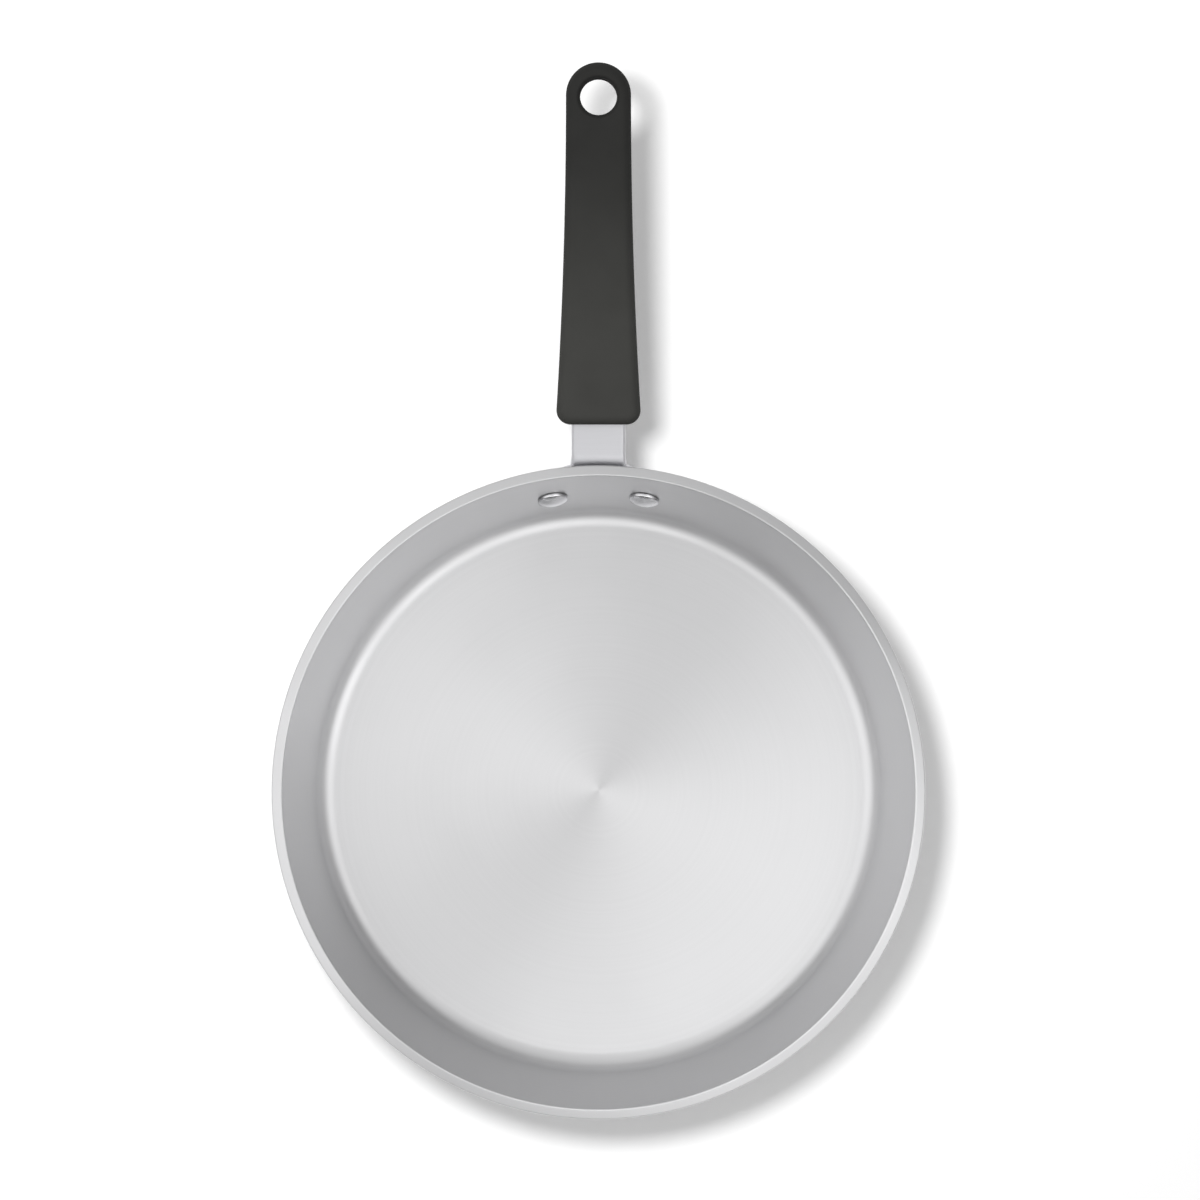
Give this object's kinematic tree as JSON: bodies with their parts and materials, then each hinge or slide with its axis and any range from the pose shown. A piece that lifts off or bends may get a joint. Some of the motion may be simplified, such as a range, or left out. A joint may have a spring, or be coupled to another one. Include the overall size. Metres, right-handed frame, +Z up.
{
  "type": "frying pan",
  "caption": "Bare aluminium frying pan with a flat base and straight leaning wall, a riveted steel strap handle and a pull-off black grip sleeve with a hang hole.",
  "frame": {"origin": "centre of the base's flat underside, on the surface that the pan stands on", "axes": "+Z up along the pan's turning axis, +Y towards the handle's hang hole, +X to the right seen from above"},
  "size_m": [0.28, 0.4518, 0.0619],
  "materials": {
    "turned_aluminium": "bare, turned in fine rings",
    "satin_steel": "satin",
    "rivet_aluminium": "polished by the rivet set",
    "black_silicone": "matte moulded"
  },
  "bodies": {
    "pan": {"pan_body": "turned_aluminium", "handle_strap": "satin_steel", "rivet_left": "rivet_aluminium", "rivet_right": "rivet_aluminium"},
    "grip": {"grip_sleeve": "black_silicone"}
  },
  "joints": [
    {"name": "grip_pull", "type": "slide", "parent": "pan", "child": "grip", "axis": [0, 0.9962, 0.0872], "range_m": [0, 0.16]}
  ]
}
